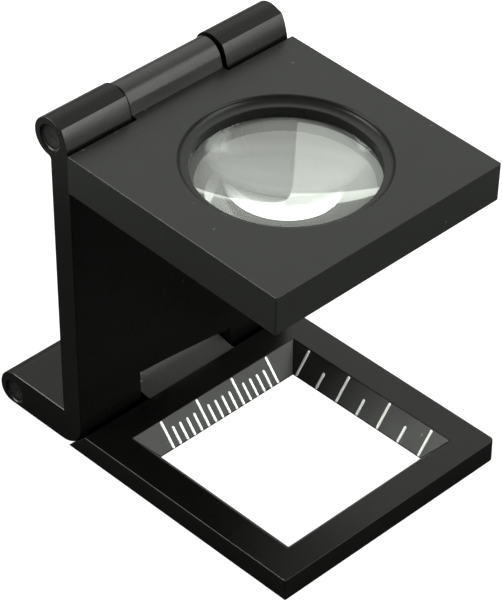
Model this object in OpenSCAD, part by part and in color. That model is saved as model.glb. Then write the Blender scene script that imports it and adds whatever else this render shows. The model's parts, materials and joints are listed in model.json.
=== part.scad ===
// Folding linen tester: a square lens plate on a hinged bracket over a base
// frame whose window carries two engraved scales.
// X runs along the hinges, -Y is the front, Z = 0 is the table.

/* [Base frame] */
// Width of the base frame and of the lens plate
body_w = 30; // [28:0.5:36]
// Reach of the base frame in front of the bracket wall
base_reach = 30.15; // [29.5:0.05:32]
// Thickness of the base frame
base_t = 2.6; // [2.2:0.05:2.8]
// Width of the window at the underside, three quarters of an inch
window_w = 19.05; // [17:0.05:20]
// Depth of the window at the underside, front to back
window_d = 18.7; // [17:0.05:19.2]
// Width of the front rail at the underside
front_rail = 5.1; // [4.5:0.05:6]
// How far the window's bevels spread from the underside to the top
bevel_run = 2.05; // [1.2:0.05:2.4]
// Height of the upright land under the bevels
bevel_land = 0.15; // [0.1:0.05:0.3]
// Width of the tongue that reaches back to the foot hinge
tongue_w = 12.2; // [11:0.1:12.3]
// Thickness of the tongue behind the bracket wall
tongue_t = 3.2; // [2.9:0.05:3.3]

/* [Bracket] */
// Width of the bracket
bracket_w = 29.4; // [27:0.1:30]
// Thickness of the bracket wall
wall_t = 2.65; // [2.4:0.05:2.8]
// Reach of the foot behind the front of the wall
foot_reach = 12.7; // [12.6:0.05:13]
// Thickness of the foot
foot_t = 4.05; // [3.9:0.05:4.3]
// Radius of the corner between wall and foot, outside
corner_r = 3; // [3:0.05:3.2]
// Width of the gaps in the bracket that the hinge tongues work in
gap_w = 12.8; // [12.7:0.05:13.4]
// Height of the lower gap's edge above the table
lower_gap_z = 5.2; // [4.8:0.05:6]

/* [Hinges] */
// Distance of the lens hinge axis behind the front of the wall
lens_axis_y = 2.62; // [2.5:0.01:2.7]
// Height of the lens hinge axis
lens_axis_z = 38.15; // [36:0.05:40]
// Radius of the bracket's two knuckles
knuckle_r = 2.2; // [2:0.05:2.3]
// Radius of the lens plate's knuckle between them
plate_knuckle_r = 1.95; // [1.7:0.05:2]
// Distance of the foot hinge axis behind the front of the wall
foot_axis_y = 10.6; // [10.5:0.05:10.7]
// Height of the foot hinge axis
foot_axis_z = 1.6; // [1.6:0.05:1.7]
// Radius of the lens hinge pin
lens_pin_r = 1.1; // [0.9:0.05:1.2]
// Radius of the foot hinge pin
foot_pin_r = 1; // [0.8:0.05:1.05]
// Running clearance between a pin and the knuckle that turns on it
pin_clearance = 0.05; // [0.02:0.01:0.08]

/* [Lens plate] */
// Depth of the lens plate, front to back
plate_d = 28.45; // [27:0.05:30]
// Thickness of the lens plate
plate_t = 4.4; // [4.2:0.05:4.5]
// How far the plate's top lies under the lens hinge axis
plate_drop = 0.47; // [0.4:0.01:0.5]
// Gap between the plate's rear edge and the wall when the plate is level
plate_gap = 0.27; // [0.25:0.01:0.4]
// Angle by which the free edge hangs at rest, with the rear edge on the wall
droop = 2; // [0:0.1:2]

/* [Lens] */
// Radius of the clear opening above the lens
opening_r = 9.35; // [8:0.05:9.4]
// Radius of the dished rim at the plate's top
rim_r = 10.35; // [9.8:0.05:10.8]
// Depth of the dished rim
rim_depth = 0.75; // [0.5:0.05:0.8]
// Radius of the lens
lens_r = 10.05; // [9.8:0.05:10.1]
// Radius of curvature of both faces of the lens
lens_curve_r = 36; // [34:0.5:44]
// Depth of the lens's crown under the plate's top
crown_depth = 0.76; // [0.6:0.01:0.78]
// Thickness of the lens at its edge
lens_edge_t = 0.75; // [0.6:0.01:0.76]
// How far the opening sits to the right of the plate's middle
lens_x = 0.2; // [0:0.05:0.3]

/* [Scales] */
// Pitch of the millimetre scale
mm_pitch = 1; // [0.9:0.01:1.1]
// Number of divisions of the millimetre scale
mm_divisions = 15; // [10:1:16]
// Pitch of the coarse scale
coarse_pitch = 2.97; // [2.5:0.01:2.99]
// Number of divisions of the coarse scale
coarse_divisions = 6; // [4:1:6]
// Width of a mark
mark_w = 0.26; // [0.2:0.01:0.35]

/* [Hidden] */
$fn = 96;
e = 0.01;                                  // overshoot of a cut past a face
wall_y = (base_reach - foot_reach) / 2;    // centres the footprint on Y = 0

// window: its front and rear edges at the underside, and the bevel's slope
window_front = -base_reach + front_rail;
window_rear = window_front + window_d;
bevel_h = base_t - bevel_land;
bevel_len = norm([bevel_run, bevel_h]);
bevel_angle = atan2(bevel_h, bevel_run);

// rear edge of the base, which leans under the bracket's rounded corner
base_rear_low = 1.7;
base_rear_high = -0.95;

// bracket: the outline of its knuckles, and the gap for the lens plate's knuckle
pad_r = 8.75;                              // front of the knuckles, a flat arc
pad_z = lens_axis_z - 2.15;                // where that arc leaves the wall
crease_z = lens_axis_z + 1.72;
crease_y = pad_r - sqrt(pad_r * pad_r - pow(crease_z - pad_z, 2));
upper_gap_z = lens_axis_z - 2.45;
gap_corner_r = 0.7;
neck_r = 0.4;                              // hollow between knuckle and wall, at the back
neck_y = wall_t + neck_r;
neck_z = lens_axis_z - sqrt(pow(knuckle_r + neck_r, 2) - pow(neck_y - lens_axis_y, 2));
// where the line from the crease touches the knuckle's top
crease_far = norm([lens_axis_y - crease_y, crease_z - lens_axis_z]);
touch_angle = atan2(crease_z - lens_axis_z, crease_y - lens_axis_y) - acos(knuckle_r / crease_far);
nose_r = 2.3;                              // top of the foot's end
nose_low_r = 1.6;                          // underside of the foot's end

// lens plate, level
plate_top = lens_axis_z - plate_drop;
plate_rear = -plate_gap;
plate_front = plate_rear - plate_d;
lens_y = (plate_rear + plate_front) / 2;

// lens and its seat, as depths under the plate's top
function sag(r) = lens_curve_r - sqrt(lens_curve_r * lens_curve_r - r * r);
seat_depth = crown_depth + sag(opening_r) - 0.02;
lens_top_edge = crown_depth + sag(lens_r);
lens_low_edge = lens_top_edge + lens_edge_t;
ring_in_r = 9.35;
ring_out_r = 10.3;
ring_t = 0.7;
ring_depth = lens_low_edge + sag(lens_r) - sag(ring_in_r) + 0.02;
ring_gap_angle = 14;
rim_edge_r = 0.2;                          // rounding where the rim meets the plate's top

mark_t = 0.04;
mark_end = 0.12;                           // the marks stop this far up the bevel
pin_recess = 0.25;                         // the pins end this far inside the bracket

// lays a side outline, drawn as [y, z], across the width w about X = 0
module across(w) {
    rotate([90, 0, 90]) translate([0, 0, -w / 2]) linear_extrude(w) children();
}

// a bar along X through a side position [y, z]
module bar_x(r, w, pos) {
    translate([0, pos.x, pos.y]) rotate([0, 90, 0]) cylinder(r = r, h = w, center = true);
}

// shifts the whole object so that its footprint is centred
module placed() { translate([0, wall_y, 0]) children(); }

// turns the lens plate's pieces about the lens hinge into their rest position
module drooped() {
    placed() translate([0, lens_axis_y, lens_axis_z]) rotate([droop, 0, 0])
        translate([0, -lens_axis_y, -lens_axis_z]) children();
}

// ---- base frame ----

// frustum of the window, wider at the top
module window_cut() {
    across_w = body_w;
    half = window_w / 2;
    intersection() {
        across(across_w) polygon([
            [window_front, -e], [window_rear, -e], [window_rear, bevel_land],
            [window_rear + bevel_run + bevel_run * e / bevel_h, base_t + e],
            [window_front - bevel_run - bevel_run * e / bevel_h, base_t + e],
            [window_front, bevel_land]]);
        rotate([90, 0, 0]) linear_extrude(base_reach + 1) polygon([
            [-half, -e], [half, -e], [half, bevel_land],
            [half + bevel_run + bevel_run * e / bevel_h, base_t + e],
            [-half - bevel_run - bevel_run * e / bevel_h, base_t + e],
            [-half, bevel_land]]);
    }
}

// tongue under the bracket wall, which rises to the foot hinge's knuckle
module tongue_outline() {
    polygon([[base_rear_high - 1, 0], [foot_axis_y, 0], [foot_axis_y, tongue_t],
             [3.4, tongue_t], [2.2, tongue_t - 0.06], [0.6, base_t + 0.24],
             [-0.5, base_t + 0.04], [base_rear_high - 1, base_t]]);
    translate([foot_axis_y, foot_axis_z]) circle(r = foot_axis_z);
}

module base_frame() color("#24262a") placed() difference() {
    union() {
        across(body_w) polygon([[-base_reach, 0], [base_rear_low, 0],
                                [base_rear_high, base_t], [-base_reach, base_t]]);
        across(tongue_w) tongue_outline();
    }
    window_cut();
    bar_x(foot_pin_r + pin_clearance, tongue_w + 1, [foot_axis_y, foot_axis_z]);
}

// ---- scales, laid on the window's rear and right bevels ----

// one mark with round ends, from the foot of a bevel up to a share of its length
module mark(share) {
    len = bevel_len * share - mark_end - mark_w / 2;
    linear_extrude(mark_t) translate([0, mark_end]) {
        translate([-mark_w / 2, 0]) square([mark_w, len]);
        circle(d = mark_w, $fn = 24);
        translate([0, len]) circle(d = mark_w, $fn = 24);
    }
}

// puts a mark that starts at the foot of the rear bevel
module on_rear_bevel(x) {
    translate([x, window_rear, bevel_land]) rotate([bevel_angle, 0, 0]) children();
}

module on_right_bevel(y) {
    translate([window_w / 2, y, bevel_land]) rotate([0, 0, -90])
        rotate([bevel_angle, 0, 0]) children();
}

module mm_scale() color("white") placed()
    for (i = [0 : mm_divisions])
        on_rear_bevel((i - mm_divisions / 2) * mm_pitch - 0.15)
            mark(i % 5 == 0 ? 0.98 : 0.64);

module coarse_scale() color("white") placed()
    for (i = [0 : coarse_divisions])
        on_right_bevel(window_rear - 0.45 - i * coarse_pitch)
            mark(i % 2 == 0 ? 0.96 : 0.6);

// ---- bracket ----

module knuckle_outline() {
    translate([lens_axis_y, lens_axis_z]) circle(r = knuckle_r);
    // front pad: the flat arc up to the crease, then straight onto the knuckle's top
    intersection() {
        translate([pad_r, pad_z]) circle(r = pad_r, $fn = 360);
        polygon([[-1, pad_z - 1], [wall_t, pad_z - 1], [lens_axis_y, lens_axis_z],
                 [lens_axis_y + knuckle_r * cos(touch_angle),
                  lens_axis_z + knuckle_r * sin(touch_angle)],
                 [crease_y, crease_z], [-1, crease_z]]);
    }
    // hollow behind, from the wall onto the knuckle
    difference() {
        polygon([[wall_t - 0.1, neck_z], [neck_y, neck_z], [lens_axis_y, lens_axis_z]]);
        translate([neck_y, neck_z]) circle(r = neck_r);
    }
}

// a quarter of a disc about a side position, on the side that toward points to
module quadrant(r, at, toward) {
    translate(at) intersection() {
        circle(r = r);
        translate([toward.x < 0 ? -r : 0, toward.y < 0 ? -r : 0]) square(r);
    }
}

module wall_and_foot_outline() {
    nose_y = foot_reach - nose_r;
    low_y = foot_reach - nose_low_r;
    quadrant(corner_r, [corner_r, corner_r], [-1, -1]);
    quadrant(nose_low_r, [low_y, nose_low_r], [1, -1]);
    quadrant(nose_r, [nose_y, foot_t - nose_r], [1, 1]);
    polygon([[0, pad_z], [0, corner_r], [corner_r, corner_r], [corner_r, 0], [low_y, 0],
             [low_y, nose_low_r], [foot_reach, nose_low_r], [foot_reach, foot_t - nose_r],
             [nose_y, foot_t - nose_r], [nose_y, foot_t], [wall_t, foot_t], [wall_t, pad_z]]);
}

module bracket() color("#1c1d1f") placed() difference() {
    across(bracket_w) {
        wall_and_foot_outline();
        knuckle_outline();
    }
    // gap for the lens plate's knuckle
    translate([-gap_w / 2, -1, upper_gap_z]) cube([gap_w, 8, 6]);
    // gap for the base frame's tongue, open to the back
    translate([-gap_w / 2, -1, -1]) cube([gap_w, foot_reach + 2, lower_gap_z - gap_corner_r + 1]);
    translate([gap_corner_r - gap_w / 2, -1, -1])
        cube([gap_w - 2 * gap_corner_r, foot_reach + 2, lower_gap_z + 1]);
    for (side = [-1, 1])
        translate([side * (gap_w / 2 - gap_corner_r), -1, lower_gap_z - gap_corner_r])
            rotate([-90, 0, 0]) cylinder(r = gap_corner_r, h = foot_reach + 2);
    bar_x(lens_pin_r + e, bracket_w + 1, [lens_axis_y, lens_axis_z]);
    bar_x(foot_pin_r + e, bracket_w + 1, [foot_axis_y, foot_axis_z]);
}

// ---- lens plate ----

// the opening as a turned profile [r, z], z measured up from the plate's top
module lens_opening() {
    edge = [for (a = [90 : 15 : 165])
        [rim_r + rim_edge_r * (1 + cos(a)), rim_edge_r * (sin(a) - 1)]];
    cove = [for (a = [0 : 10 : 90])
        [rim_r - (rim_r - opening_r) * (1 - cos(a)),
         -rim_edge_r - (rim_depth - rim_edge_r) * sin(a)]];
    translate([lens_x, lens_y, plate_top]) rotate_extrude() polygon(concat(
        [[0, 1], [rim_r + rim_edge_r, 1]], edge, cove,
        [[opening_r, -seat_depth], [lens_r + 0.1, -seat_depth],
         [lens_r + 0.1, -ring_depth + 0.03], [ring_out_r + 0.03, -ring_depth + 0.03],
         [ring_out_r + 0.03, -ring_depth - ring_t - 0.03],
         [lens_r + 0.1, -ring_depth - ring_t - 0.03],
         [lens_r + 0.1, -plate_t - 1], [0, -plate_t - 1]]));
}

module lens_plate() color("#2b2d2b") drooped() difference() {
    union() {
        translate([-body_w / 2, plate_front, plate_top - plate_t])
            cube([body_w, plate_d, plate_t]);
        // neck from the plate to its knuckle
        translate([-(gap_w - 0.6) / 2, plate_rear - 1, lens_axis_z - plate_knuckle_r + 0.03])
            cube([gap_w - 0.6, lens_axis_y - plate_rear + 1, plate_knuckle_r - 0.03 - plate_drop]);
        bar_x(plate_knuckle_r, gap_w - 0.6, [lens_axis_y, lens_axis_z]);
    }
    lens_opening();
    bar_x(lens_pin_r + pin_clearance, gap_w + 1, [lens_axis_y, lens_axis_z]);
}

// ---- lens and its split ring ----

module lens() color([0.8, 0.86, 0.84, 0.5]) drooped()
    translate([lens_x, lens_y, plate_top]) intersection() {
        translate([0, 0, -crown_depth - lens_curve_r]) sphere(r = lens_curve_r, $fn = 200);
        translate([0, 0, -lens_low_edge - sag(lens_r) + lens_curve_r])
            sphere(r = lens_curve_r, $fn = 200);
        translate([0, 0, -plate_t]) cylinder(r = lens_r, h = plate_t, $fn = 144);
    }

module lens_ring() color("#3a3a3a") drooped()
    translate([lens_x, lens_y, plate_top - ring_depth - ring_t]) rotate([0, 0, 90 + ring_gap_angle / 2])
        rotate_extrude(angle = 360 - ring_gap_angle, $fn = 144)
            translate([ring_in_r, 0]) square([ring_out_r - ring_in_r, ring_t]);

// ---- pins ----

module lens_pin() color("#55564f") placed()
    bar_x(lens_pin_r, bracket_w - 2 * pin_recess, [lens_axis_y, lens_axis_z]);

module foot_pin() color("#55564f") placed()
    bar_x(foot_pin_r, bracket_w - 2 * pin_recess, [foot_axis_y, foot_axis_z]);

base_frame();
bracket();
lens_plate();
lens();
lens_ring();
lens_pin();
foot_pin();
mm_scale();
coarse_scale();
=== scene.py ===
import json
import math

import bmesh
import bpy
from mathutils import Matrix, Vector


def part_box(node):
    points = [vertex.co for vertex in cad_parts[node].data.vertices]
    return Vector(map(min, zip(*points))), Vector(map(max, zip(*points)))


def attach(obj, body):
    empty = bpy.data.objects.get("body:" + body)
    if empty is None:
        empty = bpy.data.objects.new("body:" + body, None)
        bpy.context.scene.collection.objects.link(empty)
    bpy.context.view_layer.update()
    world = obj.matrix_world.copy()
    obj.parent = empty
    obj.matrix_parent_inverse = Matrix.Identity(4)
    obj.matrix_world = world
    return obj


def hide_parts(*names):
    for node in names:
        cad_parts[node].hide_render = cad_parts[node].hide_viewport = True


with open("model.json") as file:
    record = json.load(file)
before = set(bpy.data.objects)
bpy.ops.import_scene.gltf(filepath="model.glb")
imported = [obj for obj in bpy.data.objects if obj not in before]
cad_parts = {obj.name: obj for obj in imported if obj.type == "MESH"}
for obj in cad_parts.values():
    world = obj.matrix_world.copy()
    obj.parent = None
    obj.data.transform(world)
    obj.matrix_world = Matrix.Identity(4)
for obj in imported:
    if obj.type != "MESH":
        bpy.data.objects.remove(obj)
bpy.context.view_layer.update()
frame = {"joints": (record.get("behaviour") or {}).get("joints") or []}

MM = 0.001
CLOSE = 0.001

# ---------------------------------------------------------------- where things are
# Lengths are in millimetres until a mesh is made. A side position is (y, z), with y measured
# from the front of the bracket's wall, and positions within CLOSE are taken as the same.
WALL_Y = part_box("bracket")[0].y / MM
FOOT_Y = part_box("bracket")[1].y / MM - WALL_Y
HALF_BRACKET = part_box("bracket")[1].x / MM
HALF_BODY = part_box("base_frame")[1].x / MM
BASE_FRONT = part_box("base_frame")[0].y / MM - WALL_Y


def joint_axis(name):
    """The side position of a hinge's axis."""
    pos = next(j["pos_m"] for j in frame["joints"] if j["name"] == name)
    return (pos[1] / MM - WALL_Y, pos[2] / MM)


LENS_AXIS = joint_axis("lens_hinge")
FOOT_AXIS = joint_axis("foot_hinge")

# bracket: the wall, its foot, and the gaps that the other two leaves' knuckles turn in
WALL_T, FOOT_T = 2.65, 4.05
CORNER_R = 3.0
NOSE_R, NOSE_LOW_R = 2.3, 1.6
GAP_HALF = 6.4
LOWER_GAP_Z = 5.2
UPPER_GAP_Z = LENS_AXIS[1] - 2.45
NOTCH_R = 0.7
RIM_R, RIM_R_FOOT = 0.09, 0.2
RIM_STEPS = 4

# knuckles: a round barrel whose front is a shallow bulge that ends in a crease
KNUCKLE_R = 2.2
BULGE_R, BULGE_Z = 8.75, LENS_AXIS[1] - 2.15
CREASE_Z, CREASE_R = LENS_AXIS[1] + 1.72, 0.13
NECK_R = 0.4
MID_KNUCKLE_R, MID_HALF = 1.95, 6.1
MID_FLANK = math.radians(162)

# hinge pins, and the dished mouths of their holes
LENS_PIN_R, FOOT_PIN_R = 1.1, 1.0
PIN_PLAY = 0.05
MOUTH_W, MOUTH_DEPTH = 0.38, 0.26
PIN_DISH, PIN_EDGE = 0.1, 0.003
BLOW_DEPTH = 0.03
PIN_SEGMENTS = 48
PAST_KNUCKLE, PAST_MOUTH = 10, 1

# base frame
BASE_T = 2.6
BASE_REAR_LOW, BASE_REAR_HIGH = 1.7, -0.95
BASE_CORNER_LEFT, BASE_CORNER_RIGHT = 0.12, 0.6
WINDOW_HALF = 9.525
WINDOW_FRONT = BASE_FRONT + 5.1
WINDOW_REAR = WINDOW_FRONT + 18.7
BEVEL_RUN, BEVEL_LAND = 2.05, 0.15
BEVEL_RISE = BASE_T - BEVEL_LAND
BEVEL_LEN = math.hypot(BEVEL_RUN, BEVEL_RISE)
TONGUE_HALF = 6.1
BASE_SOFT = 0.09

# lens plate, level as it is built, and drooped a little on its hinge at rest
PLATE_T = 4.4
PLATE_TOP = LENS_AXIS[1] - 0.47
PLATE_REAR = -0.27
PLATE_FRONT = PLATE_REAR - 28.45
PLATE_CORNER, PLATE_SOFT = 0.2, 0.11
DROOP = math.radians(2.0)
LENS_X, LENS_Y = 0.2, (PLATE_REAR + PLATE_FRONT) / 2
OPENING_R = 9.35
DISH_R, DISH_EDGE_R, DISH_DEPTH = 10.35, 0.2, 0.75
OPENING_SEGMENTS = 128

# lens and split ring
LENS_R = 10.05
LENS_CURVE = 36.0
CROWN = 0.76
LENS_EDGE = 0.75
LENS_CHAMFER = 0.12
LENS_PLAY, SEAT_PLAY, RING_PLAY = 0.1, 0.02, 0.03
RING_IN, RING_OUT, RING_H = OPENING_R, 10.3, 0.7
RING_EDGE_R = 0.08
RING_GAP = math.radians(14)

# white marks
MARK_HALF_W = 0.16
MARK_LAYERS = ((1.0, -0.03), (1.0, 0.01), (0.86, 0.045), (0.55, 0.07), (0.2, 0.078))
FINE_PITCH, FINE_SHIFT = 1.0, -0.15
COARSE_PITCH, COARSE_START = 2.97, 0.45


def sag(r):
    """How far a face of the lens falls away from its crown at a radius."""
    return LENS_CURVE - math.sqrt(LENS_CURVE ** 2 - r * r)


# depths below the top of the plate
LENS_EDGE_TOP = CROWN + sag(LENS_R)
LENS_EDGE_LOW = LENS_EDGE_TOP + LENS_EDGE
LENS_LOWEST = LENS_EDGE_LOW + sag(LENS_R)
RING_TOUCH = LENS_LOWEST - sag(RING_IN)


# ---------------------------------------------------------------- mesh tools
def arc(centre, r, start, end, step=6.0):
    """Points on an arc from start to end degrees, both ends included."""
    n = max(2, round(abs(end - start) / step))
    angles = (math.radians(start + (end - start) * i / n) for i in range(n + 1))
    return [(centre[0] + r * math.cos(a), centre[1] + r * math.sin(a)) for a in angles]


def inward(side):
    """For each point of a clockwise outline, the step that moves both its edges in by 1."""
    steps = []
    for i, p in enumerate(side):
        before = Vector(p) - Vector(side[i - 1])
        after = Vector(side[(i + 1) % len(side)]) - Vector(p)
        a, b = (Vector((e.y, -e.x)).normalized() for e in (before, after))
        steps.append((a + b) / (1 + a.dot(b)))
    return steps


class Solid:
    """Collects flat faces given by their corners in millimetres, and welds them into one mesh."""

    def __init__(self):
        self.bm = bmesh.new()
        self.seen = {}

    def vert(self, p):
        key = tuple(round(c, 5) for c in p)
        if key not in self.seen:
            self.seen[key] = self.bm.verts.new([c * MM for c in p])
        return self.seen[key]

    def face(self, *points):
        """A face round the points, leaving out those that weld together."""
        verts = []
        for p in points:
            v = self.vert(p)
            if v not in verts:
                verts.append(v)
        if len(verts) > 2:
            self.bm.faces.new(verts)

    def strip(self, side, x0, x1, closed=False):
        """A wall across the width under a side polyline."""
        following = side[1:] + side[:1] if closed else side[1:]
        for a, b in zip(side, following):
            self.face((x0, *a), (x0, *b), (x1, *b), (x1, *a))

    def rounded_end(self, side, x_end, x_in, radius_at):
        """The end of an extruded outline: its walls back to x_in, and its rounded rim and cap.

        The rim's radius at a side position is radius_at(y, z).
        """
        outward = math.copysign(1, x_end - x_in)
        moves = list(zip(side, inward(side), (radius_at(*p) for p in side)))
        loops = [[(x_in, *p) for p in side]]
        for k in range(RIM_STEPS + 1):
            a = math.radians(90 * k / RIM_STEPS)
            drop, shrink = 1 - math.sin(a), 1 - math.cos(a)
            loops.append([
                (x_end - outward * r * drop, y + step[0] * r * shrink, z + step[1] * r * shrink)
                for (y, z), step, r in moves
            ])
        for a, b in zip(loops, loops[1:]):
            for i in range(len(side)):
                self.face(a[i - 1], a[i], b[i], b[i - 1])
        self.face(*loops[-1])

    def cap(self, side, x):
        """A flat end in the shape of a side outline."""
        self.face(*[(x, *p) for p in side])

    def edges_at(self, test):
        """The edges whose two ends, in millimetres, both pass the test."""
        return [
            e for e in self.bm.edges
            if all(test(*(c / MM for c in v.co)) for v in e.verts)
        ]

    def round_edges(self, edges, r, segments):
        bmesh.ops.bevel(
            self.bm, geom=edges, offset=r * MM, offset_type="OFFSET", segments=segments,
            profile=0.5, affect="EDGES", clamp_overlap=True, loop_slide=True,
        )

    def soften(self, r, segments=3, angle=24.0):
        """Rounds every edge sharper than the angle."""
        self.bm.normal_update()
        sharp = [
            e for e in self.bm.edges
            if len(e.link_faces) == 2 and e.calc_face_angle(0) > math.radians(angle)
        ]
        self.round_edges(sharp, r, segments)

    def close(self):
        bmesh.ops.recalc_face_normals(self.bm, faces=self.bm.faces)

    def make(self, name):
        """The finished object, moved from the wall's front into the row frame."""
        self.close()
        self.bm.transform(Matrix.Translation((0, WALL_Y * MM, 0)))
        return as_object(self.bm, name)


def as_object(bm, name):
    """Links a new smooth-shaded object made from the bmesh, and frees the bmesh."""
    for f in bm.faces:
        f.smooth = True
    mesh = bpy.data.meshes.new(name)
    bm.to_mesh(mesh)
    bm.free()
    obj = bpy.data.objects.new(name, mesh)
    bpy.context.scene.collection.objects.link(obj)
    return obj


def lathe(profile, segments):
    """A bmesh turned about Z from (r, z) points in millimetres."""
    bm = bmesh.new()
    rings = []
    for r, z in profile:
        if r < 1e-6:
            rings.append([bm.verts.new((0, 0, z * MM))])
            continue
        rings.append([
            bm.verts.new((r * MM * math.cos(t), r * MM * math.sin(t), z * MM))
            for t in (math.tau * i / segments for i in range(segments))
        ])
    for a, b in zip(rings, rings[1:]):
        for i in range(segments):
            j = (i + 1) % segments
            corners = [a[i % len(a)], a[j % len(a)], b[j % len(b)], b[i % len(b)]]
            corners = list(dict.fromkeys(corners))
            if len(corners) > 2:
                bm.faces.new(corners)
    bmesh.ops.recalc_face_normals(bm, faces=bm.faces)
    return bm


def join_loops(bm, loops):
    """Walls between loops of the same number of vertices, each loop closed on itself."""
    for a, b in zip(loops, loops[1:]):
        for i in range(len(a)):
            j = (i + 1) % len(a)
            bm.faces.new((a[i], a[j], b[j], b[i]))


def along_x(at):
    """Turns a lathed mesh's axis to X, through a side position."""
    place = Matrix.Translation((0, (WALL_Y + at[0]) * MM, at[1] * MM))
    return place @ Matrix.Rotation(math.pi / 2, 4, "Y")


def drooped():
    """From the level lens plate to its rest position, both in the row frame."""
    pivot = Vector((0, (WALL_Y + LENS_AXIS[0]) * MM, LENS_AXIS[1] * MM))
    return Matrix.Translation(pivot) @ Matrix.Rotation(DROOP, 4, "X") @ Matrix.Translation(-pivot)


def move_under_lens_plate(bm):
    """Moves a mesh built round the origin to the lens's axis, from the top of the plate down."""
    bm.transform(Matrix.Translation((LENS_X * MM, (WALL_Y + LENS_Y) * MM, PLATE_TOP * MM)))
    bm.transform(drooped())


def apply_modifiers(obj):
    dg = bpy.context.evaluated_depsgraph_get()
    mesh = bpy.data.meshes.new_from_object(obj.evaluated_get(dg))
    obj.modifiers.clear()
    obj.data = mesh


def cut(obj, cutter):
    """Takes the cutter's solid out of obj."""
    m = obj.modifiers.new("cut", "BOOLEAN")
    m.operation, m.solver, m.object = "DIFFERENCE", "EXACT", cutter
    apply_modifiers(obj)
    bpy.data.objects.remove(cutter)


def drill(obj, axis, profile):
    """Cuts a hole along X through a side position, turned from (r, x) points."""
    bore = lathe(profile, PIN_SEGMENTS)
    bore.transform(along_x(axis))
    cut(obj, as_object(bore, "bore"))


def drill_straight(obj, axis, r):
    drill(obj, axis, [(0, -PAST_KNUCKLE), (r, -PAST_KNUCKLE), (r, PAST_KNUCKLE), (0, PAST_KNUCKLE)])


# Metres and degrees: what counts as one point, as no face at all, and as a real corner.
WELD, SPECK, CORNER = 3e-7, 2e-7, 38


def even_shading(obj):
    """Clears tiny faces, then lets flat faces shade flat and rounded edges carry the turn."""
    for p in obj.data.polygons:
        p.use_smooth = True
    bm = bmesh.new()
    bm.from_mesh(obj.data)
    bmesh.ops.remove_doubles(bm, verts=bm.verts, dist=WELD)
    bmesh.ops.dissolve_degenerate(bm, edges=bm.edges, dist=SPECK)
    for e in bm.edges:
        turn = e.calc_face_angle(0) if len(e.link_faces) == 2 else 0
        e.smooth = turn <= math.radians(CORNER)
    bm.to_mesh(obj.data)
    bm.free()
    m = obj.modifiers.new("even_shading", "WEIGHTED_NORMAL")
    m.keep_sharp = True
    m.weight = 100


# ---------------------------------------------------------------- bracket
def bracket_outline():
    """The bracket's side outline in two runs, clockwise: above the gaps and below them."""
    ay, az = LENS_AXIS
    crease_angle = 180 - math.degrees(math.asin((CREASE_Z - BULGE_Z) / BULGE_R))
    bulge = arc((BULGE_R, BULGE_Z), BULGE_R, 180, crease_angle, 3)
    crease = Vector(bulge[-1])
    far = math.hypot(crease.x - ay, crease.y - az)
    touch = math.atan2(crease.y - az, crease.x - ay) - math.acos(KNUCKLE_R / far)
    neck_y = WALL_T + NECK_R
    neck = (neck_y, az - math.sqrt((KNUCKLE_R + NECK_R) ** 2 - (neck_y - ay) ** 2))
    neck_angle = math.degrees(math.atan2(neck[1] - az, neck[0] - ay))
    barrel = arc(LENS_AXIS, KNUCKLE_R, math.degrees(touch), neck_angle, 5)
    into, out_of = crease - Vector(bulge[-2]), Vector(barrel[0]) - crease
    start = crease - into.normalized() * CREASE_R
    end = crease + out_of.normalized() * CREASE_R
    middle = start.lerp(crease, 0.5).lerp(crease.lerp(end, 0.5), 0.5)
    top = [(0, UPPER_GAP_Z), *bulge[:-1], tuple(start), tuple(middle), tuple(end), *barrel]
    fillet = arc(neck, NECK_R, neck_angle + 180, 180, 20)[1:]
    top += [p for p in fillet if p[1] > UPPER_GAP_Z + 0.05]
    top += [(WALL_T, UPPER_GAP_Z)]
    foot = [(WALL_T, LOWER_GAP_Z), (WALL_T, FOOT_T)]
    foot += arc((FOOT_Y - NOSE_R, FOOT_T - NOSE_R), NOSE_R, 90, 0)
    foot += arc((FOOT_Y - NOSE_LOW_R, NOSE_LOW_R), NOSE_LOW_R, 0, -90, 9)
    foot += arc((CORNER_R, CORNER_R), CORNER_R, 270, 180)
    foot += [(0, LOWER_GAP_Z)]
    return top, foot


def bracket_rim(y, z):
    """The rim's radius: more along the top of the foot."""
    return RIM_R_FOOT if abs(z - FOOT_T) < CLOSE else RIM_R


def mouthed_hole(pin_r):
    """The (r, x) profile of a pin's hole, with a dished mouth at both ends."""
    turn = [math.radians(15 * i) for i in range(7)]
    mouth = [(pin_r + MOUTH_W * math.sin(a), HALF_BRACKET - MOUTH_DEPTH * math.cos(a))
             for a in turn]
    out = HALF_BRACKET + PAST_MOUTH
    end = [(pin_r, 0), *mouth, (pin_r + MOUTH_W + 0.1, out), (0, out)]
    return [(r, -x) for r, x in reversed(end)] + end[1:]


def make_bracket():
    top, foot = bracket_outline()
    s = Solid()
    for side in (-1, 1):
        s.rounded_end(top + foot, side * HALF_BRACKET, side * GAP_HALF, bracket_rim)
        s.cap(top, side * GAP_HALF)
        s.cap(foot, side * GAP_HALF)
    wall = [(0, LOWER_GAP_Z), (0, UPPER_GAP_Z), (WALL_T, UPPER_GAP_Z), (WALL_T, LOWER_GAP_Z)]
    s.strip(wall, -GAP_HALF, GAP_HALF, closed=True)
    s.close()
    notch = s.edges_at(
        lambda x, y, z: abs(abs(x) - GAP_HALF) < CLOSE and abs(z - LOWER_GAP_Z) < CLOSE)
    s.round_edges(notch, NOTCH_R, 6)
    obj = s.make("bracket_leaf")
    drill(obj, LENS_AXIS, mouthed_hole(LENS_PIN_R))
    drill(obj, FOOT_AXIS, mouthed_hole(FOOT_PIN_R))
    even_shading(obj)
    return obj


# ---------------------------------------------------------------- base frame
def window_loop(grow, z):
    """The window's four corners at a height: front left, front right, rear right, rear left."""
    x, front, rear = WINDOW_HALF + grow, WINDOW_FRONT - grow, WINDOW_REAR + grow
    return {"fl": (-x, front, z), "fr": (x, front, z), "rr": (x, rear, z), "rl": (-x, rear, z)}


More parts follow.
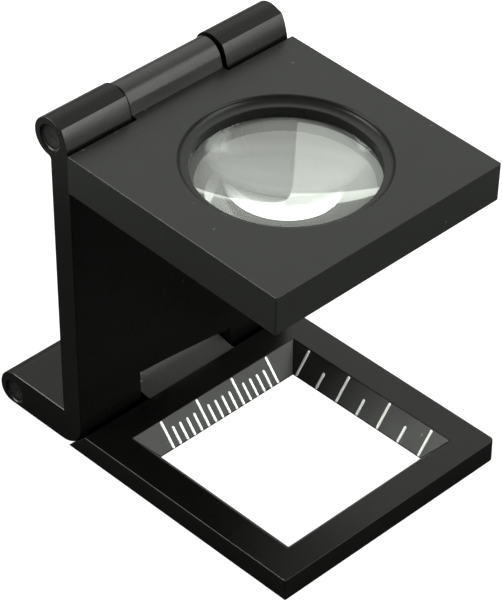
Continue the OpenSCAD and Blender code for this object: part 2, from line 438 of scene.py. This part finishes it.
def make_base():
    """The frame with its bevelled window, and the tongue that rises a little to the foot hinge."""
    s = Solid()
    w, t, front = HALF_BODY, BASE_T, BASE_FRONT
    rise = [(-0.35, 0.04), (0.3, 0.15), (1.0, 0.32), (1.7, 0.46), (2.5, 0.56), (3.4, 0.6)]
    ramp = [(BASE_REAR_HIGH, t)] + [(y, t + h) for y, h in rise]
    tongue = ramp + arc(FOOT_AXIS, FOOT_AXIS[1], 90, -90, 7.5) + [(BASE_REAR_LOW, 0)]
    rear_top = [(x, BASE_REAR_HIGH) for x in (w, TONGUE_HALF, -TONGUE_HALF, -w)]
    out_top = {"fl": (-w, front), "fr": (w, front), "rr": rear_top[0], "rl": rear_top[3]}
    top, land, low = window_loop(BEVEL_RUN, t), window_loop(0, BEVEL_LAND), window_loop(0, 0)
    # bevels and top
    ring = list(top)
    for a, b in zip(ring, ring[1:] + ring[:1]):
        s.face(top[a], top[b], land[b], land[a])
        s.face(land[a], land[b], low[b], low[a])
        if (a, b) == ("rr", "rl"):
            s.face(*[(x, y, t) for x, y in rear_top], top[b], top[a])
        else:
            s.face((*out_top[a], t), (*out_top[b], t), top[b], top[a])
    # underside
    rear_low = [(x, BASE_REAR_LOW, 0) for x, _ in rear_top]
    corner = {"fl": (-w, front, 0), "fr": (w, front, 0), "rr": rear_low[0], "rl": rear_low[3]}
    for a, b in (("fl", "fr"), ("fr", "rr"), ("rl", "fl")):
        s.face(corner[a], corner[b], low[b], low[a])
    s.face(*rear_low, low["rl"], low["rr"])
    # sides
    s.face((-w, front, 0), (w, front, 0), (w, front, t), (-w, front, t))
    for side in (-1, 1):
        s.face((side * w, front, 0), (side * w, front, t), (side * w, BASE_REAR_HIGH, t),
               (side * w, BASE_REAR_LOW, 0))
        s.face((side * w, BASE_REAR_HIGH, t), (side * TONGUE_HALF, BASE_REAR_HIGH, t),
               (side * TONGUE_HALF, BASE_REAR_LOW, 0), (side * w, BASE_REAR_LOW, 0))
        s.cap(tongue, side * TONGUE_HALF)
    s.strip(tongue, -TONGUE_HALF, TONGUE_HALF)
    s.close()
    for side, r in ((-1, BASE_CORNER_LEFT), (1, BASE_CORNER_RIGHT)):
        upright = s.edges_at(
            lambda x, y, z: abs(x - side * w) < CLOSE and abs(y - front) < CLOSE)
        s.round_edges(upright, r, 5)
    s.soften(BASE_SOFT)
    obj = s.make("base_leaf")
    drill_straight(obj, FOOT_AXIS, FOOT_PIN_R + PIN_PLAY)
    even_shading(obj)
    return obj


# ---------------------------------------------------------------- lens plate
def opening_profile():
    """The (r, z) profile of the lens's opening, from the plate's top down to its underside."""
    hole = LENS_R + LENS_PLAY
    seat = CROWN + sag(OPENING_R) - SEAT_PLAY
    groove = RING_OUT + RING_PLAY
    groove_top, groove_low = RING_TOUCH - RING_PLAY, RING_TOUCH + RING_H + RING_PLAY
    profile = arc((DISH_R + DISH_EDGE_R, -DISH_EDGE_R), DISH_EDGE_R, 90, 180, 15)
    profile += [
        (DISH_R - (DISH_R - OPENING_R) * (1 - math.cos(a)),
         -DISH_EDGE_R - (DISH_DEPTH - DISH_EDGE_R) * math.sin(a))
        for a in (math.radians(9 * i) for i in range(1, 11))
    ]
    profile += [(OPENING_R, -seat), (hole, -seat), (hole, -groove_top), (groove, -groove_top)]
    profile += [(groove, -groove_low), (hole, -groove_low), (hole, -PLATE_T)]
    return profile


def make_lens_plate():
    s = Solid()
    w, top, low = HALF_BODY, PLATE_TOP, PLATE_TOP - PLATE_T
    profile = opening_profile()
    n = OPENING_SEGMENTS

    def ring_point(k, i):
        r, z = profile[k]
        a = math.tau * (i % n) / n
        return (LENS_X + r * math.cos(a), LENS_Y + r * math.sin(a), top + z)

    for k in range(len(profile) - 1):
        for i in range(n):
            s.face(ring_point(k, i), ring_point(k, i + 1),
                   ring_point(k + 1, i + 1), ring_point(k + 1, i))
    # top and underside, in quarters between the opening and the outline
    touch_y = LENS_AXIS[0] + MID_KNUCKLE_R * math.cos(MID_FLANK)
    touch_z = LENS_AXIS[1] + MID_KNUCKLE_R * math.sin(MID_FLANK)
    neck_y = touch_y - (touch_z - top) / abs(math.tan(MID_FLANK + math.pi / 2))
    for k, z, neck in ((0, top, True), (len(profile) - 1, low, False)):
        mid = [(w, LENS_Y), (0, neck_y if neck else PLATE_REAR), (-w, LENS_Y), (0, PLATE_FRONT)]
        corner = [[(w, PLATE_REAR)], [(-w, PLATE_REAR)], [(-w, PLATE_FRONT)], [(w, PLATE_FRONT)]]
        if neck:
            corner[0] += [(MID_HALF, PLATE_REAR), (MID_HALF, neck_y)]
            corner[1] = [(-MID_HALF, neck_y), (-MID_HALF, PLATE_REAR)] + corner[1]
        for q in range(4):
            outline = [mid[q], *corner[q], mid[(q + 1) % 4]]
            arc_points = [ring_point(k, q * n // 4 + i) for i in range(n // 4, -1, -1)]
            s.face(*[(x, y, z) for x, y in outline], *arc_points)
    # sides
    under = LENS_AXIS[1] - MID_KNUCKLE_R + 0.03
    front = [(-w, low), (0, low), (w, low), (w, top), (0, top), (-w, top)]
    s.face(*[(x, PLATE_FRONT, z) for x, z in front])
    end = [(PLATE_FRONT, low), (LENS_Y, low), (PLATE_REAR, low)]
    end += [(y, top) for y, _ in reversed(end)]
    for side in (-1, 1):
        s.cap(end, side * w)
    rear = [(-w, low), (0, low), (w, low), (w, top), (MID_HALF, top), (MID_HALF, under),
            (-MID_HALF, under), (-MID_HALF, top), (-w, top)]
    s.face(*[(x, PLATE_REAR, z) for x, z in rear])
    # the middle knuckle, which grows out of the plate's rear edge
    lower = math.degrees(math.asin((LENS_AXIS[1] - under) / MID_KNUCKLE_R))
    barrel = arc(LENS_AXIS, MID_KNUCKLE_R, math.degrees(MID_FLANK), lower - 180, 5)
    loop = [(neck_y, top), *barrel, (PLATE_REAR, under)]
    s.strip(loop, -MID_HALF, MID_HALF)
    for side in (-1, 1):
        s.cap([(PLATE_REAR, top), *loop], side * MID_HALF)
    bmesh.ops.remove_doubles(s.bm, verts=s.bm.verts, dist=1e-8)
    s.close()
    uprights = s.edges_at(
        lambda x, y, z: abs(abs(x) - w) < CLOSE and abs(y - PLATE_FRONT) < CLOSE)
    s.round_edges(uprights, PLATE_CORNER, 4)
    s.soften(PLATE_SOFT)
    obj = s.make("lens_leaf")
    drill_straight(obj, LENS_AXIS, LENS_PIN_R + PIN_PLAY)
    even_shading(obj)
    obj.data.transform(drooped())
    return obj


def make_lens():
    """A biconvex disc with a small ground chamfer at both edges."""
    steps = 28
    r_face = LENS_R - LENS_CHAMFER
    upper = [(r_face * i / steps, -CROWN - sag(r_face * i / steps)) for i in range(steps + 1)]
    lower = [(r, sag(r) - LENS_LOWEST) for r, _ in reversed(upper)]
    ground = LENS_CHAMFER * 0.6
    edge = [(LENS_R, -LENS_EDGE_TOP - ground), (LENS_R, -LENS_EDGE_LOW + ground)]
    bm = lathe(upper + edge + lower, 144)
    move_under_lens_plate(bm)
    obj = as_object(bm, "lens_glass")
    even_shading(obj)
    return obj


def make_ring():
    """A split ring of rounded square section, in its groove under the lens."""
    e, depth = RING_EDGE_R, RING_TOUCH + SEAT_PLAY
    section = []
    for r, z, start in ((RING_OUT - e, -e, 90), (RING_OUT - e, e - RING_H, 0),
                        (RING_IN + e, e - RING_H, -90), (RING_IN + e, -e, -180)):
        section += arc((r, z), e, start, start - 90, 30)
    bm = bmesh.new()
    steps = 150
    rows = []
    for i in range(steps + 1):
        a = math.pi / 2 + RING_GAP / 2 + (math.tau - RING_GAP) * i / steps
        rows.append([
            bm.verts.new((r * MM * math.cos(a), r * MM * math.sin(a), (z - depth) * MM))
            for r, z in section
        ])
    join_loops(bm, rows)
    bm.faces.new(rows[0])
    bm.faces.new(list(reversed(rows[-1])))
    bmesh.ops.recalc_face_normals(bm, faces=bm.faces)
    move_under_lens_plate(bm)
    obj = as_object(bm, "lens_ring_split")
    even_shading(obj)
    return obj


def make_pin(name, axis, r):
    """A pin whose ends sit inside the knuckles, dished by the punch that set them."""
    half = HALF_BRACKET - MOUTH_DEPTH
    end = [(r * i / 9, half - PIN_DISH * (1 - (i / 9) ** 2)) for i in range(9)]
    end.append((r - PIN_EDGE, half))
    bm = lathe(end + [(q, -z) for q, z in reversed(end)], PIN_SEGMENTS)
    for v in bm.verts:
        x, y = v.co.x / MM, v.co.y / MM
        blow = math.sin(3.1 * x + 1.7 * y + 0.6) + math.sin(4.3 * y - 2.2 * x + 2.0)
        blow += 0.6 * math.sin(7.0 * x + 5.0 * y)
        fade = max(0.0, 1 - (x * x + y * y) / (r * r))
        v.co.z -= math.copysign(BLOW_DEPTH * MM * blow * fade, v.co.z)
    bm.transform(along_x(axis))
    obj = as_object(bm, name)
    even_shading(obj)
    return obj


# ---------------------------------------------------------------- scales
def mark_outline(low, high, half_w):
    """A stadium's points across and along a mark: round the high end, then the low end."""
    return [
        (half_w * math.cos(a), centre + half_w * math.sin(a))
        for centre, start in ((high, 0), (low, 180))
        for a in (math.radians(start + 22.5 * i) for i in range(9))
    ]


def make_marks(name, places):
    """Raised marks with rounded backs and ends.

    A place is (start, direction up the bevel, direction out of it, share of the bevel's length).
    """
    bm = bmesh.new()
    for start, up, out, share in places:
        start, up, out = Vector(start), Vector(up).normalized(), Vector(out).normalized()
        across = up.cross(out)
        low, high = MARK_HALF_W - 0.02, BEVEL_LEN * share - MARK_HALF_W
        loops = []
        for grow, rise in MARK_LAYERS:
            points = (start + across * u + up * v + out * rise
                      for u, v in mark_outline(low, high, MARK_HALF_W * grow))
            loops.append([bm.verts.new((p + Vector((0, WALL_Y, 0))) * MM) for p in points])
        join_loops(bm, loops)
        bm.faces.new(loops[-1])
        bm.faces.new(list(reversed(loops[0])))
    bmesh.ops.recalc_face_normals(bm, faces=bm.faces)
    obj = as_object(bm, name)
    even_shading(obj)
    return obj


def fine_places():
    """16 marks up the rear bevel, every fifth one long."""
    up, out = (0, BEVEL_RUN, BEVEL_RISE), (0, -BEVEL_RISE, BEVEL_RUN)
    return [
        (((i - 7.5) * FINE_PITCH + FINE_SHIFT, WINDOW_REAR, BEVEL_LAND), up, out,
         0.98 if i % 5 == 0 else 0.64)
        for i in range(16)
    ]


def coarse_places():
    """7 marks up the right bevel, every second one long."""
    up, out = (BEVEL_RUN, 0, BEVEL_RISE), (-BEVEL_RISE, 0, BEVEL_RUN)
    return [
        ((WINDOW_HALF, WINDOW_REAR - COARSE_START - COARSE_PITCH * i, BEVEL_LAND), up, out,
         0.96 if i % 2 == 0 else 0.6)
        for i in range(7)
    ]


# ---------------------------------------------------------------- materials
# Noise scales are per metre: paint grain, polish, dust, smears on the glass, and enamel.
GRAIN, POLISH, DUST, SMEAR, ENAMEL = 5200, 260, 1500, 180, 2600
HAZE = 0.09


def new_material(name):
    m = bpy.data.materials.new(name)
    m.use_nodes = True
    nodes, links = m.node_tree.nodes, m.node_tree.links
    return m, nodes, links, nodes["Principled BSDF"]


def noise(nodes, links, scale, detail, rough=0.5):
    coord = nodes.new("ShaderNodeTexCoord")
    n = nodes.new("ShaderNodeTexNoise")
    n.inputs["Scale"].default_value = scale
    n.inputs["Detail"].default_value = detail
    n.inputs["Roughness"].default_value = rough
    links.new(coord.outputs["Object"], n.inputs["Vector"])
    return n.outputs["Fac"]


def ramp_between(nodes, links, value, span, a, b):
    """Maps a value's span onto two colours."""
    r = nodes.new("ShaderNodeValToRGB")
    for element, position, colour in zip(r.color_ramp.elements, span, (a, b)):
        element.position, element.color = position, (*colour, 1)
    links.new(value, r.inputs["Fac"])
    return r.outputs["Color"]


def map_range(nodes, links, value, span, to, smooth=False):
    """Maps a value's span onto another, held at its ends."""
    r = nodes.new("ShaderNodeMapRange")
    if smooth:
        r.interpolation_type = "SMOOTHSTEP"
    r.inputs["From Min"].default_value, r.inputs["From Max"].default_value = span
    r.inputs["To Min"].default_value, r.inputs["To Max"].default_value = to
    links.new(value, r.inputs["Value"])
    return r.outputs["Result"]


def math_node(nodes, links, operation, *values):
    n = nodes.new("ShaderNodeMath")
    n.operation = operation
    for slot, value in zip(n.inputs, values):
        if isinstance(value, (int, float)):
            slot.default_value = value
        else:
            links.new(value, slot)
    return n.outputs[0]


def bump_from(nodes, links, p, height, strength, distance):
    b = nodes.new("ShaderNodeBump")
    b.inputs["Strength"].default_value = strength
    b.inputs["Distance"].default_value = distance * MM
    links.new(height, b.inputs["Height"])
    links.new(b.outputs["Normal"], p.inputs["Normal"])


def paint(name, base, roughness=(0.26, 0.31), ior=1.22, bump=0.4):
    """Fine-grained black paint with clouds in its polish and sparse paler dust."""
    m, nodes, links, p = new_material(name)
    dusty = [c * 6 + 0.004 for c in base]
    dust = noise(nodes, links, DUST, 2)
    links.new(ramp_between(nodes, links, dust, (0.74, 0.82), base, dusty), p.inputs["Base Color"])
    polish = noise(nodes, links, POLISH, 3)
    links.new(map_range(nodes, links, polish, (0.3, 0.7), roughness), p.inputs["Roughness"])
    p.inputs["IOR"].default_value = ior
    bump_from(nodes, links, p, noise(nodes, links, GRAIN, 4, 0.62), bump, 0.03)
    return m


def glass(name):
    """Clear glass with faint smears, and a thin haze on the outside of its upper face."""
    m, nodes, links, p = new_material(name)
    p.inputs["Base Color"].default_value = (0.97, 1.0, 0.975, 1)
    p.inputs["Transmission Weight"].default_value = 1.0
    p.inputs["IOR"].default_value = 1.5
    p.inputs["Specular Tint"].default_value = (0.45, 0.46, 0.45, 1)
    smear = noise(nodes, links, SMEAR, 2)
    links.new(map_range(nodes, links, smear, (0.35, 0.75), (0.0, 0.008)), p.inputs["Roughness"])
    haze = nodes.new("ShaderNodeBsdfDiffuse")
    pale = ramp_between(nodes, links, smear, (0.3, 0.7), (0.86, 0.88, 0.85), (0.98, 1.0, 0.97))
    links.new(pale, haze.inputs["Color"])
    geometry = nodes.new("ShaderNodeNewGeometry")
    facing = nodes.new("ShaderNodeSeparateXYZ")
    links.new(geometry.outputs["True Normal"], facing.inputs["Vector"])
    upward = map_range(nodes, links, facing.outputs["Z"], (0.7, 0.9), (0.0, HAZE))
    outside = math_node(nodes, links, "SUBTRACT", 1.0, geometry.outputs["Backfacing"])
    mix = nodes.new("ShaderNodeMixShader")
    links.new(math_node(nodes, links, "MULTIPLY", upward, outside), mix.inputs["Fac"])
    links.new(p.outputs["BSDF"], mix.inputs[1])
    links.new(haze.outputs["BSDF"], mix.inputs[2])
    links.new(mix.outputs["Shader"], nodes["Material Output"].inputs["Surface"])
    return m


def white_marks(name):
    m, nodes, links, p = new_material(name)
    mottle = noise(nodes, links, ENAMEL, 3)
    white = ramp_between(nodes, links, mottle, (0.3, 0.7), (0.78, 0.79, 0.77), (0.9, 0.91, 0.89))
    links.new(white, p.inputs["Base Color"])
    p.inputs["Roughness"].default_value = 0.55
    bump_from(nodes, links, p, mottle, 0.15, 0.02)
    return m


def finish_where(obj, material, test):
    """Gives another finish to the faces where test(x, y, z, normal) holds, in millimetres."""
    obj.data.materials.append(material)
    for f in obj.data.polygons:
        if test(f.center.x / MM, f.center.y / MM - WALL_Y, f.center.z / MM, f.normal):
            f.material_index = len(obj.data.materials) - 1


def is_side_edge(x, y, z, normal):
    """The rounded upper edges at either side, which get edge wear and a painted highlight."""
    return abs(x) > HALF_BRACKET - 0.35 and 0.25 < abs(normal.x) < 0.95 and normal.z > 0.25


def is_bevel_or_ramp(x, y, z, normal):
    """The window's bevels, and the tongue's rise towards the foot hinge, where the paler colour is
    a painted sheen.
    """
    ramp = abs(x) < TONGUE_HALF - 0.2 and -0.8 < y < 3.4 and normal.z > 0.9
    inside = (abs(x) < WINDOW_HALF + BEVEL_RUN
              and WINDOW_FRONT - BEVEL_RUN < y < WINDOW_REAR + BEVEL_RUN)
    return ramp or (inside and abs(normal.z - BEVEL_RUN / BEVEL_LEN) < 0.05)


def is_knuckle_front(x, y, z, normal):
    """The bulged fronts of the bracket's knuckles."""
    return y < 0.93 and z > LENS_AXIS[1] - 2.0 and normal.y < -0.2


def is_middle_knuckle(x, y, z, normal):
    """The barrel of the lens plate's knuckle."""
    return math.hypot(y - LENS_AXIS[0], z - LENS_AXIS[1]) > MID_KNUCKLE_R - 0.15 and y > 0.3


def put(obj, material, body, nodes):
    """Dresses a piece, stands it in for its CAD nodes, and lets it ride on its body."""
    obj.data.materials.clear()
    obj.data.materials.append(material)
    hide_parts(*nodes)
    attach(obj, body)
    return obj


black = paint("satin_black_enamel", (0.0014, 0.0014, 0.0013), ior=1.2)
# a paler black on the window's bevels, and a painted sheen on the tongue's ramp
bevel_and_ramp_sheen = paint("pale_bevel_painted_ramp_sheen", (0.024, 0.0245, 0.0235), (0.3, 0.36), 1.19)
bracket_black = paint("satin_black_bracket", (0.0018, 0.0018, 0.0017), ior=1.175)
# lighter, glossier paint on the rounded side edges: edge wear, and a painted highlight along them
edge_wear_and_highlight = paint("worn_black_edge_painted_highlight", (0.012, 0.0123, 0.0117), (0.24, 0.3), 1.3)
knuckle_black = paint("rubbed_black_knuckle", (0.0022, 0.0022, 0.0021), (0.22, 0.27), 1.31)
middle_black = paint("rubbed_black_middle", (0.0055, 0.0057, 0.0053), (0.24, 0.3), 1.28)
plate_black = paint("satin_black_plate", (0.0096, 0.01, 0.0093), ior=1.19)
pin_black = paint("painted_pin_end", (0.004, 0.004, 0.004), (0.4, 0.55), 1.3, 0.5)
ring_black = paint("blackened_ring", (0.003, 0.003, 0.003), (0.45, 0.6), 1.3, 0.2)
lens_glass = glass("clear_crown_glass")
enamel_white = white_marks("white_enamel")

base_leaf = put(make_base(), black, "base", ["base_frame"])
finish_where(base_leaf, edge_wear_and_highlight, is_side_edge)
finish_where(base_leaf, bevel_and_ramp_sheen, is_bevel_or_ramp)
bracket_leaf = put(make_bracket(), bracket_black, "bracket", ["bracket"])
finish_where(bracket_leaf, edge_wear_and_highlight, is_side_edge)
finish_where(bracket_leaf, knuckle_black, is_knuckle_front)
lens_leaf = put(make_lens_plate(), plate_black, "lens_plate", ["lens_plate"])
finish_where(lens_leaf, edge_wear_and_highlight, is_side_edge)
finish_where(lens_leaf, middle_black, is_middle_knuckle)
put(make_lens(), lens_glass, "lens_plate", ["lens"])
put(make_ring(), ring_black, "lens_plate", ["lens_ring"])
lens_pin = make_pin("lens_hinge_pin", LENS_AXIS, LENS_PIN_R)
put(lens_pin, pin_black, "bracket", ["lens_pin"])
foot_pin = make_pin("foot_hinge_pin", FOOT_AXIS, FOOT_PIN_R)
put(foot_pin, pin_black, "bracket", ["foot_pin"])
fine_marks = make_marks("millimetre_marks", fine_places())
put(fine_marks, enamel_white, "base", ["mm_scale"])
coarse_marks = make_marks("coarse_marks", coarse_places())
put(coarse_marks, enamel_white, "base", ["coarse_scale"])


# ---------------------------------------------------------------- floor and light
# Metres: the floor's half size, how far it lies under the part, and the ring round the point
# under the lens where its tone, as the lens and the paint see it, turns from a painted shadow
# to pale.
FLOOR_HALF, FLOOR_DROP = 6.0, 0.00003
# the floor's tone is a painted shadow near the part and pale further out
FLOOR_SHADOW_EDGE = (0.067, 0.07)
FLOOR_PAINTED_SHADOW, FLOOR_FAR = (0.07, 0.072, 0.07), (0.3, 0.31, 0.3)


def make_floor():
    """A plain floor. The camera sees it as white; the lens and the paint see its own tone, darkened
    near the part by a painted shadow.
    """
    bm = bmesh.new()
    bmesh.ops.create_grid(bm, x_segments=8, y_segments=8, size=FLOOR_HALF)
    floor = as_object(bm, "floor")
    floor.location.z = -FLOOR_DROP
    m, nodes, links, p = new_material("pale_floor_painted_shadow")
    place = nodes.new("ShaderNodeTexCoord")
    reach = nodes.new("ShaderNodeVectorMath")
    reach.operation = "DISTANCE"
    reach.inputs[1].default_value = (0, (LENS_Y + WALL_Y) * MM, 0)
    links.new(place.outputs["Object"], reach.inputs[0])
    # painted shadow: dark floor tone near the point under the lens, pale beyond the ring
    turn = map_range(nodes, links, reach.outputs["Value"], FLOOR_SHADOW_EDGE, (0.0, 1.0), smooth=True)
    painted_shadow_tone = ramp_between(nodes, links, turn, (0, 1), FLOOR_PAINTED_SHADOW, FLOOR_FAR)
    links.new(painted_shadow_tone, p.inputs["Base Color"])
    p.inputs["Roughness"].default_value = 0.9
    glow = nodes.new("ShaderNodeEmission")
    glow.inputs["Color"].default_value = (1, 1, 1, 1)
    glow.inputs["Strength"].default_value = 1.0
    add = nodes.new("ShaderNodeAddShader")
    mix = nodes.new("ShaderNodeMixShader")
    path = nodes.new("ShaderNodeLightPath")
    links.new(p.outputs["BSDF"], add.inputs[0])
    links.new(glow.outputs["Emission"], add.inputs[1])
    links.new(path.outputs["Is Camera Ray"], mix.inputs["Fac"])
    links.new(p.outputs["BSDF"], mix.inputs[1])
    links.new(add.outputs["Shader"], mix.inputs[2])
    links.new(mix.outputs["Shader"], nodes["Material Output"].inputs["Surface"])
    floor.data.materials.append(m)


BEHIND = 0.001
WIDEST = 80.0


def aim(azimuth, elevation):
    """The three axes of a panel seen from the object: outward, sideways and up."""
    a, e = math.radians(azimuth), math.radians(elevation)
    out = Vector((math.cos(a) * math.cos(e), math.sin(a) * math.cos(e), math.sin(e)))
    side = Vector((-math.sin(a), math.cos(a), 0))
    return out, side, out.cross(side)


class Studio:
    """Soft panels of light painted on the sky, which the camera itself sees as white."""

    def __init__(self, ambient):
        world = bpy.data.worlds.new("studio")
        bpy.context.scene.world = world
        world.use_nodes = True
        self.nodes, self.links = world.node_tree.nodes, world.node_tree.links
        self.direction = self.nodes.new("ShaderNodeTexCoord").outputs["Generated"]
        self.total = self.node("ADD", ambient, 0.0)

    def node(self, operation, *values):
        return math_node(self.nodes, self.links, operation, *values)

    def along(self, axis):
        """How far the direction looked at goes along an axis."""
        n = self.nodes.new("ShaderNodeVectorMath")
        n.operation = "DOT_PRODUCT"
        self.links.new(self.direction, n.inputs[0])
        n.inputs[1].default_value = axis
        return n.outputs["Value"]

    def panel(self, azimuth, elevation, half_w, half_h, soft, level, soft_h=None):
        """Adds a panel of light.

        Its direction, half sizes and the softness of its edges are in degrees, and a level of 1
        is the background's white. soft_h softens the upper and lower edges differently.
        """
        out, side, up = (self.along(axis) for axis in aim(azimuth, elevation))
        front = self.node("MAXIMUM", out, BEHIND)
        mask = self.node("MULTIPLY", level, self.node("GREATER_THAN", out, BEHIND))
        for axis, half, edge in ((side, half_w, soft), (up, half_h, soft_h or soft)):
            slope = self.node("ABSOLUTE", self.node("DIVIDE", axis, front))
            limits = (max(0.0, half - edge), min(WIDEST, half + edge))
            span = [math.tan(math.radians(angle)) for angle in limits]
            share = map_range(self.nodes, self.links, slope, span, (1.0, 0.0), smooth=True)
            mask = self.node("MULTIPLY", mask, share)
        self.total = self.node("ADD", self.total, mask)

    def finish(self, tint):
        lit = self.nodes["Background"]
        lit.inputs["Color"].default_value = (*tint, 1)
        self.links.new(self.total, lit.inputs["Strength"])
        seen = self.nodes.new("ShaderNodeBackground")
        seen.inputs["Color"].default_value = (1, 1, 1, 1)
        mix = self.nodes.new("ShaderNodeMixShader")
        path = self.nodes.new("ShaderNodeLightPath")
        self.links.new(path.outputs["Is Camera Ray"], mix.inputs["Fac"])
        self.links.new(lit.outputs["Background"], mix.inputs[1])
        self.links.new(seen.outputs["Background"], mix.inputs[2])
        self.links.new(mix.outputs["Shader"], self.nodes["World Output"].inputs["Surface"])


def light_studio():
    studio = Studio(0.15)
    studio.panel(-50, 38, 22, 12, 4, 8.5, soft_h=5)  # upper key, front right
    studio.panel(-69, 12, 17, 17, 4, 10, soft_h=5)  # lower key, further round to the front
    studio.panel(40, 52, 48, 20, 14, 3.2)  # big soft sky, back right
    studio.panel(40, 22, 60, 9, 14, 1.2, soft_h=3)  # its low fringe, the crescent in the lens
    studio.panel(141, 27, 16, 14, 5, 18)  # rim light, back left
    studio.finish((0.975, 1.0, 0.95))


make_floor()
light_studio()


# ---------------------------------------------------------------- camera
SENSOR, FOCAL = 36, 178.42
CAMERA_AT = (-0.162395, -0.178354 + WALL_Y * MM, 0.203497)
CAMERA_AZIMUTH, CAMERA_ELEVATION = math.radians(43.937), math.radians(38.518)


def make_camera():
    """The photograph's viewpoint: above and to the left of the open front."""
    data = bpy.data.cameras.new("camera")
    data.sensor_width, data.lens = SENSOR, FOCAL
    data.clip_start, data.clip_end = 0.01, 20
    cam = bpy.data.objects.new("camera", data)
    cam.location = CAMERA_AT
    level = math.cos(CAMERA_ELEVATION)
    look = Vector((math.sin(CAMERA_AZIMUTH) * level, math.cos(CAMERA_AZIMUTH) * level,
                   -math.sin(CAMERA_ELEVATION)))
    cam.rotation_euler = look.to_track_quat("-Z", "Y").to_euler()
    bpy.context.scene.collection.objects.link(cam)
    bpy.context.scene.camera = cam


make_camera()
bpy.context.scene.view_settings.view_transform = "Standard"
